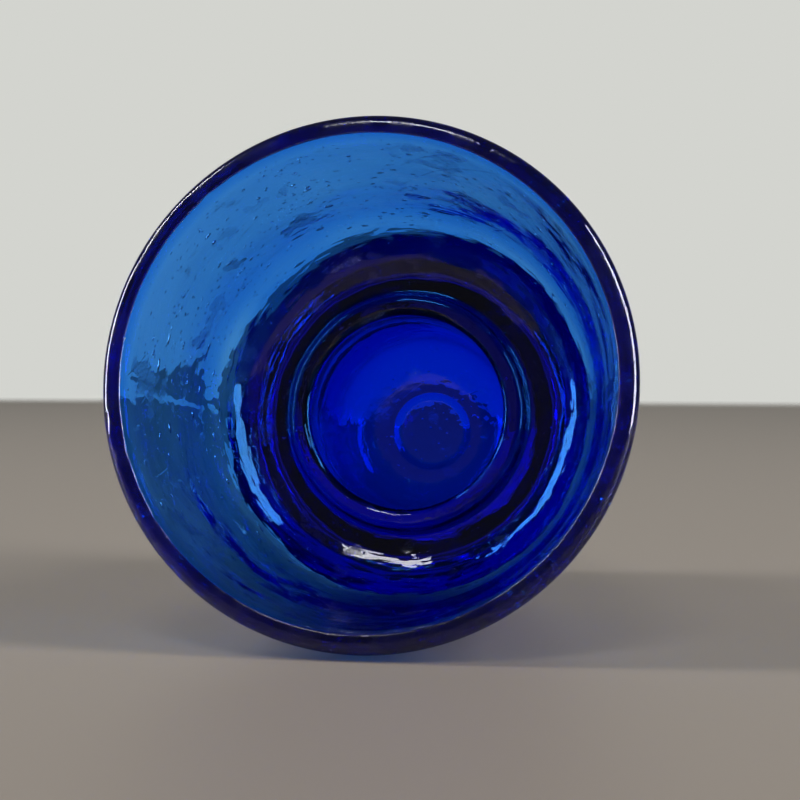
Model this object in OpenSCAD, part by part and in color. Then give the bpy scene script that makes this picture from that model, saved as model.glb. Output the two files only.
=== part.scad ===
// A pin-type glass insulator with a wide bell skirt and a smooth, unthreaded pin hole.
// It is one pressed piece of glass: skirt, crown, wire groove, collar and pin hole are one casting.
// It stands on its rim: z = 0 is the plane the rim rests on, and +Z runs up the pin to the crown.

/* [Bell] */
// Outside diameter of the mouth, over the rim's bead
mouth_d = 86; // [84:0.5:90]
// Height from the rim to the top of the crown
total_h = 96; // [94:0.5:104]
// Thickness of the rim's bead, which rests on the ground
rim_t = 3.3; // [3:0.1:4]
// Height of the bead before the skirt narrows above it
bead_h = 3.6; // [3.4:0.1:4.4]
// Wall thickness of the skirt, above the bead
skirt_t = 3; // [2.6:0.1:3.6]
// Outside radius of the skirt where the bell turns in towards the shoulder
belly_r = 40.2; // [39.8:0.1:40.8]
// Height at which the bell turns in
belly_z = 22; // [20:0.5:24]
// Radius of the bowl's sharp lower corner, before it is rounded
bowl_r = 33; // [32.7:0.1:33.6]
// Rounding between the bowl's wall and its floor
bowl_round = 11; // [9:0.5:11]

/* [Crown] */
// Outside radius where the skirt becomes the sloping shoulder
shoulder_r = 38.4; // [37.8:0.1:39]
// Height of that turn
shoulder_z = 38; // [36:0.5:39]
// Radius of the wire groove's lower lip, at the end of the shoulder
lip_r = 31.6; // [31:0.1:32.4]
// Height of that lip
lip_z = 57; // [56.5:0.1:57.5]
// Height of the wire groove's middle
groove_z = 61.8; // [61.5:0.1:62.2]
// Radius of the wire groove's round bottom
groove_round = 4; // [3:0.1:4.5]
// Radius of the crown at the groove's upper lip, its widest place
crown_r = 32.8; // [32:0.1:33.5]

/* [Pin hole] */
// Diameter of the smooth hole that the pin goes into
pin_hole_d = 36; // [35.5:0.1:36.5]
// Height from the rim's plane to the collar around the hole
collar_z = 45.5; // [44:0.5:46]
// Thickness of the collar's wall
collar_t = 3.6; // [3.2:0.1:3.8]
// Height of the bowl's floor, which the collar stands down from
bowl_z = 48.6; // [48:0.1:49]
// Height at which the hole ends, under the crown
hole_end_z = 83.5; // [82:0.5:85]
// Radius of the hole's rounded end corner
hole_end_round = 9.5; // [8:0.5:9.5]
// Diameter of the shallow dish that the pressing plunger leaves in the hole's end
dish_d = 16; // [13:0.5:16]
// Depth of that dish
dish_depth = 1.2; // [0.8:0.1:1.4]

/* [Rounding] */
// Rounding of the rim's outer edge
rim_round = 2; // [1.6:0.1:2.1]
// Rounding of the collar's edges
collar_round = 1.5; // [1:0.1:1.5]
// Angle between neighbouring points of a rounded corner, in degrees
arc_step = 6; // [3:1:10]

/* [Hidden] */
$fn = 180;

mouth_r = mouth_d / 2;
hole_r = pin_hole_d / 2;
dish_r = dish_d / 2;
collar_r = hole_r + collar_t;

// A corner is [radius, height, rounding]. The inside runs down from the crown to the rim.
collar_draft = 0.7;
rim_inner_round = 0.5;
neck_r = mouth_r - 1.1;
neck_z = bead_h + 2.6;
sharp_groove_r = crown_r - 8.2;
crown_lip_z = groove_z + 4.7;
crown_taper = 2.2;
dome_round = 26;

inside = [
    [0, hole_end_z + dish_depth, 0],
    [dish_r - dish_depth, hole_end_z + dish_depth, dish_depth],
    [dish_r, hole_end_z, 0.3],
    [hole_r, hole_end_z, hole_end_round],
    [hole_r, collar_z, collar_round],
    [collar_r, collar_z, collar_round],
    [collar_r + collar_draft, bowl_z, 1.3],
    [bowl_r, bowl_z, bowl_round],
    [belly_r - skirt_t, belly_z, 60],
    [mouth_r - rim_t, 0, rim_inner_round]
];

outside = [
    [mouth_r, 0, rim_round],
    [mouth_r, bead_h, 2.2],
    [neck_r, neck_z, 4],
    [belly_r, belly_z, 60],
    [shoulder_r, shoulder_z, 14],
    [lip_r, lip_z, 2.2],
    [sharp_groove_r, groove_z, groove_round],
    [crown_r, crown_lip_z, 2.5],
    [crown_r - crown_taper, total_h, dome_round],
    [0, total_h, 0]
];

function unit(v) = v / norm(v);

function turned(v, angle) =
    [v[0] * cos(angle) - v[1] * sin(angle), v[0] * sin(angle) + v[1] * cos(angle)];

// The points of a circular arc that rounds the corner at p, between the points before and after it.
function rounded_corner(before, p, after, r) =
    let(
        a = unit(before - p),
        b = unit(after - p),
        half = acos(a * b) / 2,
        centre = p + unit(a + b) * r / sin(half),
        first = p + a * r / tan(half) - centre,
        side = cross(a, b) < 0 ? 1 : -1,
        sweep = side * (180 - 2 * half),
        steps = max(1, ceil(abs(sweep) / arc_step))
    )
    [for (k = [0:steps]) centre + turned(first, sweep * k / steps)];

function flat(corner) = [corner[0], corner[1]];

// Joins the corners with straight lines, and rounds each one that has a rounding.
function outline(corners) =
    let(last = len(corners) - 1)
    [for (i = [0:last])
        each (i == 0 || i == last || corners[i][2] == 0)
            ? [flat(corners[i])]
            : rounded_corner(flat(corners[i - 1]), flat(corners[i]), flat(corners[i + 1]), corners[i][2])];

module glass_shell() {
    color([0.05, 0.16, 0.72, 0.75])
        rotate_extrude()
            polygon(outline(concat(inside, outside)));
}

glass_shell();
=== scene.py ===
# %% [markdown]
# # A threadless glass insulator, pressed in cobalt blue glass
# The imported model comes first. It fixes where everything is: +Z is the insulator's own axis, the mouth
# is in the plane z = 0 and the crown is up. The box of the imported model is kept, because the finished
# piece is compared with it at the end.

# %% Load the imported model
import math
import random

import bmesh
import bpy
from mathutils import Matrix, Vector, noise
from mathutils.bvhtree import BVHTree


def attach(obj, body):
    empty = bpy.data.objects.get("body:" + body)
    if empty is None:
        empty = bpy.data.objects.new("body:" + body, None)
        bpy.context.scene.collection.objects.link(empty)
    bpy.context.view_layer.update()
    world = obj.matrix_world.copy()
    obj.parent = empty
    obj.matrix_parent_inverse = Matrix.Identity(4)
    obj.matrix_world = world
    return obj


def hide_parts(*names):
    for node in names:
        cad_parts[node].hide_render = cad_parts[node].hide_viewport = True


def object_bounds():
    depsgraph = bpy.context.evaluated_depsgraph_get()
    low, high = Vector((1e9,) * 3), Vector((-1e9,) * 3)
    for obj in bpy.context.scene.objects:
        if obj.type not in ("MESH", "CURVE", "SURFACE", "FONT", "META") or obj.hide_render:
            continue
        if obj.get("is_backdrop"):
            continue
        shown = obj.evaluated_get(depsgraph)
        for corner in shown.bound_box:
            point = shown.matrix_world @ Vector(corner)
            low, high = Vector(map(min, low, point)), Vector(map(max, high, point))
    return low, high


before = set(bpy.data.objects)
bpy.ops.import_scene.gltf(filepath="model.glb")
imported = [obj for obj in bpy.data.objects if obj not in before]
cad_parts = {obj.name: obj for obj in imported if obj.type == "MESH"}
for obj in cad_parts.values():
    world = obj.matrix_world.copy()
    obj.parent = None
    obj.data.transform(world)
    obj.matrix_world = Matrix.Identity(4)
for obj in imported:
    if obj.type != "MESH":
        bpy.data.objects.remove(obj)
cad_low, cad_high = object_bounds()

MM = 0.001
scene = bpy.context.scene
print("packed model, mm:", [round(side / MM, 2) for side in cad_high - cad_low])

# %% [markdown]
# ## The sizes of the pressing
# A glass maker draws one outline, because the mould and its plunger are both turned on a lathe. The
# sizes below are that outline's, in millimetres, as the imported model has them. The mouth and the
# height are read from its box.

# %% Sizes of the glass, in millimetres
mouth_r = cad_high.x / MM
total_h = cad_high.z / MM
rim_t, bead_h, rim_round = 3.3, 3.6, 2.0
skirt_t, belly_r, belly_z = 3.0, 40.2, 22.0
bowl_r, bowl_z, bowl_round = 33.0, 48.6, 11.0
shoulder_r, shoulder_z = 38.4, 38.0
lip_r, lip_z = 31.6, 57.0
groove_z, groove_round, crown_r = 61.8, 4.0, 32.8
hole_r, hole_end_z, hole_end_round = 18.0, 83.5, 9.5
collar_z, collar_r, collar_round, collar_draft = 45.5, 21.6, 1.5, 0.7
dish_r, dish_depth = 8.0, 1.2
rim_inner_round = 0.5
neck_r, neck_z = mouth_r - 1.1, bead_h + 2.6
sharp_groove_r = crown_r - 8.2
crown_lip_z, crown_taper, dome_round = groove_z + 4.7, 2.2, 26
print("mouth", round(2 * mouth_r, 1), "mm across, height", round(total_h, 1), "mm")

# %% [markdown]
# ## The outline
# The glass is drawn as a wire of twenty corners that runs from the end of the pin hole down to the rim,
# round it, and up the outside to the crown. A curve object or a screw modifier could carry it too. A
# wire in a bmesh was chosen because a vertex bevel rounds each corner by its own radius, the way a
# draughtsman fillets a section, and the same mesh can then be spun. Each corner below is a radius, a
# height and a rounding. The belly and the shoulder have roundings so large that they are gentle curves.

# %% Corners as radius, height and rounding
corners = [
    (0, hole_end_z + dish_depth, 0),
    (dish_r - dish_depth, hole_end_z + dish_depth, dish_depth),
    (dish_r, hole_end_z, 0.3),
    (hole_r, hole_end_z, hole_end_round),
    (hole_r, collar_z, collar_round),
    (collar_r, collar_z, collar_round),
    (collar_r + collar_draft, bowl_z, 1.3),
    (bowl_r, bowl_z, bowl_round),
    (belly_r - skirt_t, belly_z, 60),
    (mouth_r - rim_t, 0, rim_inner_round),
    (mouth_r, 0, rim_round),
    (mouth_r, bead_h, 2.2),
    (neck_r, neck_z, 4),
    (belly_r, belly_z, 60),
    (shoulder_r, shoulder_z, 14),
    (lip_r, lip_z, 2.2),
    (sharp_groove_r, groove_z, groove_round),
    (crown_r, crown_lip_z, 2.5),
    (crown_r - crown_taper, total_h, dome_round),
    (0, total_h, 0),
]
print(len(corners), "corners")


# %% Round the corners with vertex bevels
def glass_outline(step):
    bm = bmesh.new()
    line = [bm.verts.new(Vector((r, 0, z)) * MM) for r, z, _ in corners]
    for first, second in zip(line, line[1:]):
        bm.edges.new((first, second))
    for vert, (_, _, radius) in zip(line, corners):
        if radius:
            arms = [edge.other_vert(vert).co - vert.co for edge in vert.link_edges]
            half = arms[0].angle(arms[1]) / 2
            turned = math.pi - 2 * half
            pieces = max(4, round(1.3 * radius * turned / step), round(turned * 5))
            bmesh.ops.bevel(bm, geom=[vert], offset=radius * MM / math.tan(half), offset_type="OFFSET",
                            affect="VERTICES", segments=pieces, profile=0.5, material=-1)
    for edge in bm.edges[:]:
        cuts = int(edge.calc_length() / (step * MM))
        if cuts:
            bmesh.ops.subdivide_edges(bm, edges=[edge], cuts=cuts)
    return bm


outline = glass_outline(step=1.4)
print("outline has", len(outline.verts), "points")

# %% [markdown]
# ## How it lies, and where it is seen from
# The insulator lies on its side, so it leans on two rings: the bead of its rim and the bulge of its
# crown. The floor is the plane that touches both. The axes stay the insulator's own, so here the floor
# is turned instead of the glass, and "up" is the floor's normal.

# %% Find the floor that touches rim and crown
profile = [vert.co.copy() for vert in outline.verts]
bead = Vector((mouth_r, 0, bead_h - 0.4)) * MM
lean = min(math.atan2(bead.x - point.x, point.z - bead.z) for point in profile if point.z > groove_z * MM)
along = Vector((0, -math.sin(lean), math.cos(lean)))
up = Vector((0, -math.cos(lean), -math.sin(lean)))
floor_reach = max(point.x * math.cos(lean) + point.z * math.sin(lean) for point in profile)
print("lying on rim and crown it leans", round(math.degrees(lean), 2), "degrees")

# %% [markdown]
# ## The camera
# The camera looks into the mouth from just above the middle of it, a little from one side. It is only
# 25 cm from the glass, so the mouth looks much larger than the hole behind it. A camera can be aimed by
# a constraint or by angles. Its three axes were written down here, because the floor, the wall and the
# windows are placed by the same three directions.

# %% Place the camera
PITCH, YAW = math.radians(2.0), math.radians(8.67)
EYE_RIGHT, EYE_DOWN, EYE_BACK = 5.8, 3.3, 251
level = along * math.cos(YAW) - Vector((1, 0, 0)) * math.sin(YAW)
forward = level * math.cos(PITCH) - up * math.sin(PITCH)
right = forward.cross(up).normalized()
down = forward.cross(right)
eye = (right * EYE_RIGHT + down * EYE_DOWN - forward * EYE_BACK) * MM

camera = bpy.data.objects.new("camera", bpy.data.cameras.new("camera"))
scene.collection.objects.link(camera)
scene.camera = camera
camera.matrix_world = Matrix.Translation(eye) @ Matrix((right, -down, -forward)).transposed().to_4x4()
camera.data.lens, camera.data.sensor_width = 72, 36
camera.data.clip_start = 0.01
print("the lens is", round((eye.dot(up) + floor_reach) / MM), "mm above the floor")


# %% [markdown]
# ## Helpers
# Colours are written as the hex values that a paint chart gives, and Blender's sockets want linear
# light. The node helper adds a node, sets its values and links its inputs in one call.

# %% Colour, node and object helpers
def linear(hex_colour):
    channels = [int(hex_colour[i:i + 2], 16) / 255 for i in (1, 3, 5)]
    return [c / 12.92 if c <= 0.04045 else ((c + 0.055) / 1.055) ** 2.4 for c in channels] + [1.0]


def add_node(tree, kind, settings=None, values=None, links=None):
    node = tree.nodes.new(kind)
    for name, value in (settings or {}).items():
        setattr(node, name, value)
    for socket, value in (values or {}).items():
        node.inputs[socket].default_value = value
    for socket, source in (links or {}).items():
        tree.links.new(source, node.inputs[socket])
    return node


def mesh_object(name, bm):
    mesh = bpy.data.meshes.new(name)
    bm.to_mesh(mesh)
    bm.free()
    thing = bpy.data.objects.new(name, mesh)
    scene.collection.objects.link(thing)
    return thing


def new_material(name):
    material = bpy.data.materials.new(name)
    material.use_nodes = True
    material.node_tree.nodes.clear()
    return material, material.node_tree


# %% [markdown]
# ## The floor
# Glass shows what is round it, so the stage matters as much as the glass. The floor is one board with
# matt grey-brown paint. A curved backdrop would join floor and wall, but it shows in glass as a bright
# sweep. So the board is flat, and its far end fades out in the material, which keeps the line between
# floor and wall soft, as it is behind any close subject. It is one-sided, because a camera that goes
# behind it would otherwise see only its back.

# %% Floor
FLOOR_BACK, FLOOR_HALF_WIDTH, FADE_START, FADE_END = 1.2, 0.8, 0.2, 0.02
bm = bmesh.new()
bmesh.ops.create_grid(bm, x_segments=1, y_segments=1, size=1.0)
floor = mesh_object("floor", bm)
turn = Matrix((Vector((1, 0, 0)), along, up)).transposed().to_4x4()
middle = -up * floor_reach + along * (FLOOR_BACK - 1.0)
floor.data.transform(Matrix.Translation(middle) @ turn @ Matrix.Diagonal((FLOOR_HALF_WIDTH, 1, 1, 1)))
floor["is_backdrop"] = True

# %% Painted board
material, tree = new_material("painted_board")
surface = add_node(tree, "ShaderNodeBsdfPrincipled",
                   values={"Base Color": linear("#7F766D"), "Roughness": 0.55})
clear = add_node(tree, "ShaderNodeBsdfTransparent")
place = add_node(tree, "ShaderNodeTexCoord").outputs["Object"]
distance = add_node(tree, "ShaderNodeVectorMath", {"operation": "DOT_PRODUCT"}, {1: along}, {0: place})
fade = add_node(tree, "ShaderNodeMapRange", {"interpolation_type": "SMOOTHSTEP"},
                {"From Min": FLOOR_BACK - FADE_START, "From Max": FLOOR_BACK - FADE_END},
                {"Value": distance.outputs["Value"]})
back = add_node(tree, "ShaderNodeNewGeometry")
hidden = add_node(tree, "ShaderNodeMath", {"operation": "MAXIMUM"}, {},
                  {0: fade.outputs[0], 1: back.outputs["Backfacing"]})
mix = add_node(tree, "ShaderNodeMixShader",
               links={0: hidden.outputs[0], 1: surface.outputs[0], 2: clear.outputs[0]})
add_node(tree, "ShaderNodeOutputMaterial", links={"Surface": mix.outputs[0]})
floor.data.materials.append(material)
print("the floor is", round(floor_reach / MM, 1), "mm below the middle of the mouth")

# %% [markdown]
# ## The light
# A pale wall stands behind the glass, and the room falls off into dimness to the sides and behind the
# camera. That dimness is what makes the rim look black: a thick glass edge gathers light from wide
# angles. A modelled room would do the same and slow the render. A world that fades with the angle from
# the camera's direction was chosen, because the glass only needs to see how bright each way is.

# %% World
WALL_EDGE, WALL_FULL, ROOM_DIM = 0.64, 0.92, 0.11
world = bpy.data.worlds.new("studio")
scene.world = world
world.use_nodes = True
tree = world.node_tree
tree.nodes.clear()
where = add_node(tree, "ShaderNodeTexCoord")
toward = add_node(tree, "ShaderNodeVectorMath", {"operation": "DOT_PRODUCT"}, {1: forward},
                  {0: where.outputs["Generated"]})
dim = add_node(tree, "ShaderNodeMapRange", {"interpolation_type": "SMOOTHSTEP"},
               {"From Min": WALL_EDGE, "From Max": WALL_FULL, "To Min": ROOM_DIM, "To Max": 1.0},
               {"Value": toward.outputs["Value"]})
sky = add_node(tree, "ShaderNodeBackground", values={"Color": linear("#D3D4CF")},
               links={"Strength": dim.outputs[0]})
add_node(tree, "ShaderNodeOutputWorld", links={"Surface": sky.outputs[0]})
print("the wall is at full brightness within", round(math.degrees(math.acos(WALL_FULL))), "degrees")

# %% [markdown]
# ## The windows
# Two tall windows, one on each side, draw the white lines along the rim, and a small skylight draws the
# white gleam in the bottom of the bowl. They are area lamps. A lamp's brightness is what shows in a
# reflection, so it is given as radiance, and the power follows from its size.


# %% Windows
def window(name, direction, distance, width, height, radiance):
    """A lamp of even brightness whose height stands along the floor's normal."""
    data = bpy.data.lights.new(name, "AREA")
    data.shape, data.size, data.size_y = "RECTANGLE", width, height
    data.energy = radiance * math.pi * width * height
    lamp = bpy.data.objects.new(name, data)
    scene.collection.objects.link(lamp)
    outwards = direction.normalized()
    across = up.cross(outwards).normalized()
    axes = Matrix((across, outwards.cross(across), outwards)).transposed().to_4x4()
    lamp.matrix_world = Matrix.Translation(outwards * distance) @ axes
    print(name, round(data.energy), "W")


window("window_right", right * 0.93 - forward * 0.3, 1.5, 0.5, 3.2, 16)
window("window_left", -right + forward * 0.1, 1.5, 0.32, 4.0, 18)
window("skylight", up * 0.84 - forward * 0.54 - right * 0.15, 0.9, 0.3, 0.2, 12)

# %% [markdown]
# ## The pressing
# Spinning the outline gives the clean shape that the mould was cut to. A screw modifier could do it, but
# the next steps need the points. A full spin slows down steeply with its number of steps, so a quarter is
# spun, copied three times and welded.

# %% Spin the outline
QUARTER_STEPS = 66
bm = outline
bmesh.ops.spin(bm, geom=bm.verts[:] + bm.edges[:], cent=(0, 0, 0), axis=(0, 0, 1), angle=math.pi / 2,
               steps=QUARTER_STEPS, use_merge=False)
quarter = bm.verts[:] + bm.edges[:] + bm.faces[:]
for quarters in (1, 2, 3):
    copied = bmesh.ops.duplicate(bm, geom=quarter)["geom"]
    bmesh.ops.rotate(bm, cent=(0, 0, 0), matrix=Matrix.Rotation(quarters * math.pi / 2, 3, "Z"),
                     verts=[part for part in copied if isinstance(part, bmesh.types.BMVert)])
bmesh.ops.remove_doubles(bm, verts=bm.verts, dist=0.00001)
bmesh.ops.recalc_face_normals(bm, faces=bm.faces)
print("shell", len(bm.verts), "points, volume", round(bm.calc_volume(signed=True) * 1e6, 1), "cm3")
print("open edges", sum(not edge.is_manifold for edge in bm.edges))

# %% [markdown]
# ## What pressing does to the shape
# Hot glass doesn't take the mould's shape exactly. It chills where it first touches the metal, which
# leaves shallow waves, worse outside than inside and worst in the bowl, where the glass is thick. Where
# the two halves of the mould met, there is a fine raised seam on both sides. The waves could be a
# displacement modifier. Moving the points along their normals by fixed noise was chosen, because it can
# treat the two faces of the wall differently, and keeps the rim's land flat where the glass stands and
# the pin hole's wall true. Lengths and heights are in millimetres.


# %% Which face of the wall a point is on
def on_the_inside(r, z):
    """Above the bowl only the hole is inside. Below it, a curve runs down the middle of the wall."""
    if z > 52:
        return r < hole_r + 2 and z < 90
    return r < 41.2 - 0.12 * z - 0.0025 * max(0, z - belly_z) ** 2


def eased(value):
    value = min(1.0, max(0.0, value))
    return value * value * (3 - 2 * value)


# %% Waves and mould seams
WAVES = [(9, 0.10), (18, 0.16)]
INSIDE_SHARE, BOWL_BOOST = 0.45, 1.8
SEAM_HEIGHT, SEAM_WIDTH = 0.06, 0.6
bm.normal_update()
moves = []
for vert in bm.verts:
    r, z = math.hypot(vert.co.x, vert.co.y) / MM, vert.co.z / MM
    inside = on_the_inside(r, z)
    free = eased((z - 1.5) / 5) * (eased((r - 2) / 8) if z > 60 else 1)
    face_shift = Vector((0, 0, 40 * inside))
    wave = sum(height * noise.noise(vert.co / MM / length + face_shift) for length, height in WAVES)
    bowl = eased((z - 36) / 7) * eased((62 - z) / 8)
    move = free * wave * ((INSIDE_SHARE if inside else 1) + BOWL_BOOST * bowl)
    if inside and r < hole_r + 1 and collar_z < z < 80:
        move = 0
    if not inside:
        move += SEAM_HEIGHT * free * math.exp(-(vert.co.y / MM / SEAM_WIDTH) ** 2)
    moves.append(min(move, mouth_r - r + 0.05) if z < 6 else move)
for vert, move in zip(bm.verts, moves):
    vert.co += vert.normal * move * MM
print("waves move the glass by", round(min(moves), 2), "to", round(max(moves), 2), "mm")

# %% [markdown]
# ## Chips on the rim
# The rim is what gets knocked. Small shells of glass flake off its edges, and each one is a shallow
# scoop. Cutting them with a boolean would be exact and slow. Here the points near a chip's centre are
# pushed in instead, deepest at the middle, which is enough at this size.

# %% Chips
CHIPS, CHIP_DEPTH = 46, 0.22
random.seed(11)
inner_edge_r = mouth_r - rim_t
edge_points = [vert for vert in bm.verts
               if vert.co.z < 2.6 * MM and vert.co.xy.length > (inner_edge_r - 0.4) * MM]
for _ in range(CHIPS):
    turn = random.uniform(0, math.tau)
    edge_r = random.choice((mouth_r - 0.2, mouth_r - 0.5, inner_edge_r + 0.1))
    size = random.uniform(0.5, 1.3)
    depth = random.uniform(-0.5, 0.2) * size
    centre = Vector((edge_r * math.cos(turn), edge_r * math.sin(turn), depth)) * MM
    for vert in edge_points:
        away = (vert.co - centre).length / MM
        if away < size:
            vert.co -= vert.normal * (1 - (away / size) ** 2) * CHIP_DEPTH * size * MM
print(CHIPS, "chips on the rim, which has", len(edge_points), "points")

# %% [markdown]
# ## Seeds
# Cheap glass is full of small bubbles, called seeds. Pressing drags them out along the wall. Each one
# is a real hollow: a small ball, stretched round the wall, whose faces point into its own empty space. A
# pattern in the material can't do this, because a bubble bends light at both of its sides. They are
# placed by casting a ray out from the axis, which finds the two faces of the wall there.

# %% Two balls that face into themselves, a fine one and a coarse one for the smallest seeds
def inward_ball(subdivisions):
    ball = bmesh.new()
    bmesh.ops.create_icosphere(ball, subdivisions=subdivisions, radius=1.0)
    bmesh.ops.reverse_faces(ball, faces=ball.faces)
    mesh = bpy.data.meshes.new("seed")
    ball.to_mesh(mesh)
    ball.free()
    return mesh


seed, pinprick = inward_ball(2), inward_ball(1)
walls = BVHTree.FromBMesh(bm)


# %% Place one seed, with its length round the wall and its width in millimetres
def add_seed(turn, height, length, width):
    outwards = Vector((math.cos(turn), math.sin(turn), 0))
    start = Vector((0, 0, height * MM))
    inner = walls.ray_cast(start, outwards)[0]
    outer = walls.ray_cast(inner + outwards * 0.01 * MM, outwards)[0]
    wall = (outer - inner).length / MM
    thick = min(width, wall * 0.4 - 0.1)
    depth = random.uniform(thick + 0.12, wall - thick - 0.25)
    turned = Matrix.Rotation(turn, 4, "Z") @ Matrix.Rotation(random.gauss(0, 0.25), 4, "X")
    shape = Matrix.Diagonal((thick, length, random.uniform(0.7, 1.0) * width, 1 / MM)) * MM
    placed = (seed if width > 0.16 else pinprick).copy()
    placed.transform(Matrix.Translation(inner + outwards * depth * MM) @ turned @ shape)
    bm.from_mesh(placed)
    bpy.data.meshes.remove(placed)


# %% Seeds in the skirt and in the crown
random.seed(5)
SWARMS, LONE_SEEDS, CROWN_SEEDS = 130, 330, 70
for _ in range(SWARMS):
    turn, height = random.uniform(0, math.tau), random.uniform(7, 40)
    for _ in range(random.randint(3, 9)):
        width = min(0.3, 0.13 * math.exp(random.gauss(0, 0.4)))
        near_turn, near_height = turn + random.gauss(0, 0.07), max(4, height + random.gauss(0, 2))
        add_seed(near_turn, near_height, width * random.uniform(1, 2.6), width)
for _ in range(LONE_SEEDS):
    width = min(0.45, 0.21 * math.exp(random.gauss(0, 0.4)))
    turn, height = random.uniform(0, math.tau), 4 + 38 * random.random() ** 0.8
    add_seed(turn, height, width * random.uniform(1, 3), width)
for _ in range(CROWN_SEEDS):
    width = min(0.6, 0.25 * math.exp(random.gauss(0, 0.45)))
    turn, height = random.uniform(0, math.tau), random.uniform(52, 80)
    add_seed(turn, height, width * random.uniform(1, 1.6), width)

# %% Make it one smooth mesh
for face in bm.faces:
    face.smooth = True
print("glass and seeds:", sum(len(face.verts) - 2 for face in bm.faces), "triangles")
glass = mesh_object("glass_bell", bm)

# %% [markdown]
# ## Coordinates that follow the wall
# Pressed glass has its marks in the direction in which it was pressed, so they run round the wall. A UV
# map could hold that direction. Here it is worked out from the Object coordinates instead, so it needs
# no seam: the direction from the axis gives the way round, and height less radius gives the way along the
# outline.

# %% Start the glass material, and its coordinates
material, tree = new_material("cobalt_glass")
place = add_node(tree, "ShaderNodeTexCoord").outputs["Object"]
flat = add_node(tree, "ShaderNodeVectorMath", {"operation": "MULTIPLY"}, {1: (1, 1, 0)}, {0: place})
radius = add_node(tree, "ShaderNodeVectorMath", {"operation": "LENGTH"}, {}, {0: flat.outputs[0]})
bearing = add_node(tree, "ShaderNodeVectorMath", {"operation": "NORMALIZE"}, {}, {0: flat.outputs[0]})
split = add_node(tree, "ShaderNodeSeparateXYZ", links={0: place})
run = add_node(tree, "ShaderNodeMath", {"operation": "SUBTRACT"}, {},
               {0: split.outputs["Z"], 1: radius.outputs["Value"]})
value = {"height": split.outputs["Z"], "radius": radius.outputs["Value"]}

# %% [markdown]
# ## Patterns
# Each mark on the glass is one pattern at its real size. The ripple is the chill of pressing, 12 mm long
# round the skirt and 3 mm wide. Lumps of 5 mm make the edges of reflections wander. Pits are a Voronoi
# pattern with cells of 1.7 mm and a pit in nearly half of them. Scratches are the thin lines of a
# sawtooth wave, about 6 mm apart before they wander. Grain of 0.5 mm is the bruised surface where it is
# worn, drawn coarser than the real one so that it shows. Image textures would fix all of these to one
# size and place. Procedural ones need no unwrapped surface, and their sizes can be changed in one line.

# %% Ripples round the wall
SKIRT_R, RIPPLE_LENGTH, RIPPLE_WIDTH = 38, 12, 3
spread = add_node(tree, "ShaderNodeVectorMath", {"operation": "SCALE"},
                  {"Scale": SKIRT_R / RIPPLE_LENGTH}, {0: bearing.outputs[0]})
climb = add_node(tree, "ShaderNodeMath", {"operation": "MULTIPLY"}, {1: 1 / (RIPPLE_WIDTH * MM)},
                 {0: run.outputs[0]})
lift = add_node(tree, "ShaderNodeCombineXYZ", links={"Z": climb.outputs[0]})
wall_place = add_node(tree, "ShaderNodeVectorMath", {"operation": "ADD"}, {},
                      {0: spread.outputs[0], 1: lift.outputs[0]})
ripple = add_node(tree, "ShaderNodeTexNoise", {}, {"Scale": 1.0, "Detail": 2.0},
                  {"Vector": wall_place.outputs[0]})
value["ripple"] = ripple.outputs["Fac"]

# %% Noises, as size in millimetres and detail
for name, size, detail in (("lump", 5, 1), ("drift", 14, 1), ("patch", 7, 3), ("grain", 0.5, 2)):
    cloud = add_node(tree, "ShaderNodeTexNoise", {}, {"Scale": 1 / (size * MM), "Detail": detail},
                     {"Vector": place})
    value[name] = cloud.outputs["Fac"]

# %% Pits and scratches
PIT_CELL = 1.7
cell = add_node(tree, "ShaderNodeTexVoronoi", {}, {"Scale": 1 / (PIT_CELL * MM)}, {"Vector": place})
chosen = add_node(tree, "ShaderNodeSeparateColor", links={"Color": cell.outputs["Color"]})
lines = add_node(tree, "ShaderNodeTexWave", {"wave_profile": "SAW", "bands_direction": "DIAGONAL"},
                 {"Scale": 60.0, "Distortion": 9.0, "Detail": 0.0, "Detail Scale": 0.6},
                 {"Vector": place})
value["cell_distance"] = cell.outputs["Distance"]
value["cell_choice"] = chosen.outputs["Red"]
value["lines"] = lines.outputs["Fac"]
print("patterns:", ", ".join(value))

# %% [markdown]
# ## Where each mark is
# A ramp turns a pattern or a place into an amount from 0 to 1. The ripple is strong in the bowl and the
# shoulder, because the thick glass there cools slowly, and weak in the thin skirt. It stops near the
# axis, where the way round has no meaning. The rim is worn only on its land, where the glass stands and
# is slid about, and in patches. Two tables and two loops were chosen, so that each mark is one line.

# %% Ramps as pattern, start, end, and the amounts at both
RAMPS = {
    "off_axis": ("radius", 2 * MM, 12 * MM, 0, 1),
    "above_skirt": ("height", 31 * MM, 41 * MM, 0.25, 1),
    "under_crown": ("height", 50 * MM, 60 * MM, 1, 0.8),
    "pit_shape": ("cell_distance", 0.05, 0.16, 1, 0),
    "pit_here": ("cell_choice", 0.55, 0.57, 0, 1),
    "scratch_shape": ("lines", 0, 0.03, 1, 0),
    "scratch_here": ("drift", 0.58, 0.62, 0, 1),
    "scuff": ("patch", 0.58, 0.66, 0, 1),
    "rim_land": ("height", 0.1 * MM, 0.45 * MM, 1, 0),
    "rim_patch": ("patch", 0.42, 0.55, 0, 1),
}
for name, (source, low, high, start, end) in RAMPS.items():
    ramp = add_node(tree, "ShaderNodeMapRange", {"interpolation_type": "SMOOTHSTEP"},
                    {"From Min": low, "From Max": high, "To Min": start, "To Max": end},
                    {"Value": value[source]})
    value[name] = ramp.outputs[0]
print(len(RAMPS), "ramps")

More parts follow.
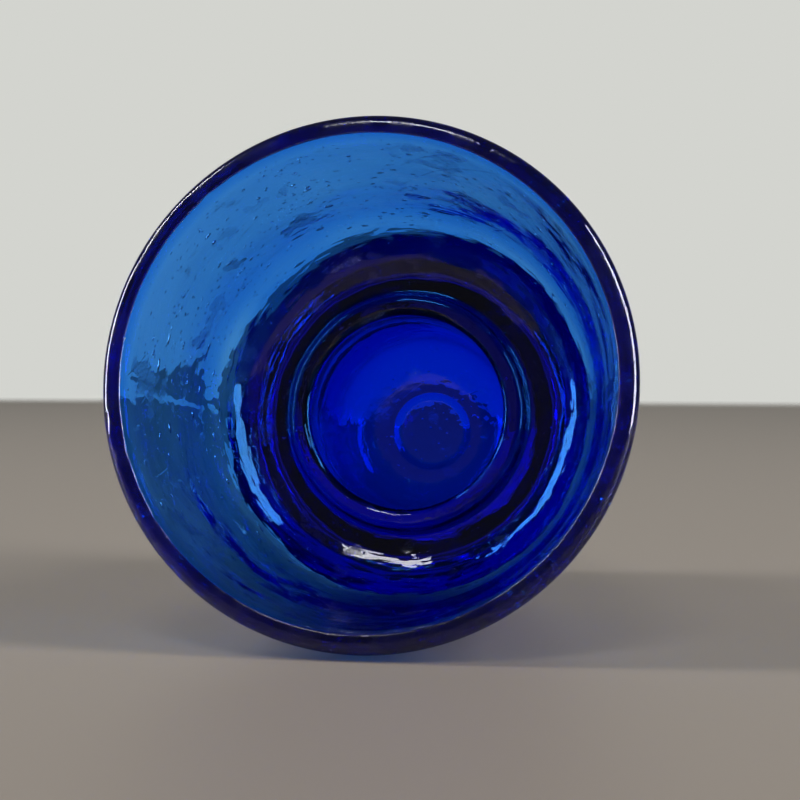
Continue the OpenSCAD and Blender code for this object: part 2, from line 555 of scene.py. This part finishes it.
# %% Put patterns and places together
PAIRS = [
    ("chilled", "MULTIPLY", "above_skirt", "under_crown"),
    ("off_axis_chill", "MULTIPLY", "off_axis", "chilled"),
    ("ripples", "MULTIPLY", "ripple", "off_axis_chill"),
    ("lumps", "MULTIPLY", "lump", "chilled"),
    ("pits", "MULTIPLY", "pit_shape", "pit_here"),
    ("scratches", "MULTIPLY", "scratch_shape", "scratch_here"),
    ("rim_wear", "MULTIPLY", "rim_land", "rim_patch"),
    ("scuff_or_rim", "MAXIMUM", "scuff", "rim_wear"),
    ("worn", "MAXIMUM", "scuff_or_rim", "pits"),
    ("bruises", "MULTIPLY", "grain", "worn"),
]
for name, operation, first, second in PAIRS:
    pair = add_node(tree, "ShaderNodeMath", {"operation": operation}, {},
                    {0: value[first], 1: value[second]})
    value[name] = pair.outputs[0]
print(len(PAIRS), "pairs")

# %% [markdown]
# ## Relief
# The marks are added up as heights in millimetres. They are finer than the mesh, so they are bump in the
# material, and the Bump node's distance of 1 means that its height is in metres.

# %% Add the heights up
HEIGHTS = {"ripples": 0.16, "lumps": 0.22, "pits": -0.07, "scratches": -0.012, "bruises": 0.03}
relief = add_node(tree, "ShaderNodeValue").outputs[0]
relief.default_value = 0
for name, height in HEIGHTS.items():
    relief = add_node(tree, "ShaderNodeMath", {"operation": "MULTIPLY_ADD"}, {1: height * MM},
                      {0: value[name], 2: relief}).outputs[0]
bump = add_node(tree, "ShaderNodeBump", {}, {"Distance": 1.0}, {"Height": relief})
print("relief of", ", ".join(HEIGHTS))

# %% [markdown]
# ## Cobalt glass
# It is soda-lime glass, pressed and fire-polished, with an index of 1.52. The polish gives the eye sharp
# white gleams, and only worn spots are matt. A trace of cobalt oxide takes the red and most of the green
# out of the light, and takes more the further light goes in the glass: thin walls look azure, thick ones
# ultramarine and long ways near black. So the colour is an absorption inside the glass and not a colour
# on its surface. With a density of 1000, each colour fades at a rate of one minus the value below for
# every millimetre.

# %% Glass material
WORN_ROUGHNESS = 0.22
COBALT = (0.17, 0.67, 0.974, 1)
roughness = add_node(tree, "ShaderNodeMath", {"operation": "MULTIPLY"}, {1: WORN_ROUGHNESS},
                     {0: value["worn"]})
surface = add_node(tree, "ShaderNodeBsdfPrincipled",
                   values={"Base Color": (1, 1, 1, 1), "IOR": 1.52, "Transmission Weight": 1.0},
                   links={"Normal": bump.outputs[0], "Roughness": roughness.outputs[0]})
depth = add_node(tree, "ShaderNodeVolumeAbsorption", values={"Color": COBALT, "Density": 1000})
add_node(tree, "ShaderNodeOutputMaterial",
         links={"Surface": surface.outputs[0], "Volume": depth.outputs[0]})
glass.data.materials.append(material)
print("glass material of", len(tree.nodes), "nodes")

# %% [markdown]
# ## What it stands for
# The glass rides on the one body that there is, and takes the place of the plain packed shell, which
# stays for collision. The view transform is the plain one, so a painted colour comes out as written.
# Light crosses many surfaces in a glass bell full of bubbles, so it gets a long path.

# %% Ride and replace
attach(glass, "root")
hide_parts("glass_shell")

# %% Colour and light paths
scene.view_settings.view_transform = "Standard"
scene.cycles.max_bounces = 24
scene.cycles.transmission_bounces = 24
scene.cycles.glossy_bounces = 12

# %% Sizes against the imported model's box
low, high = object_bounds()
for side, growth in (("low", cad_low - low), ("high", high - cad_high)):
    print("grown on the", side, "side, mm:", [round(v / MM, 2) for v in growth])
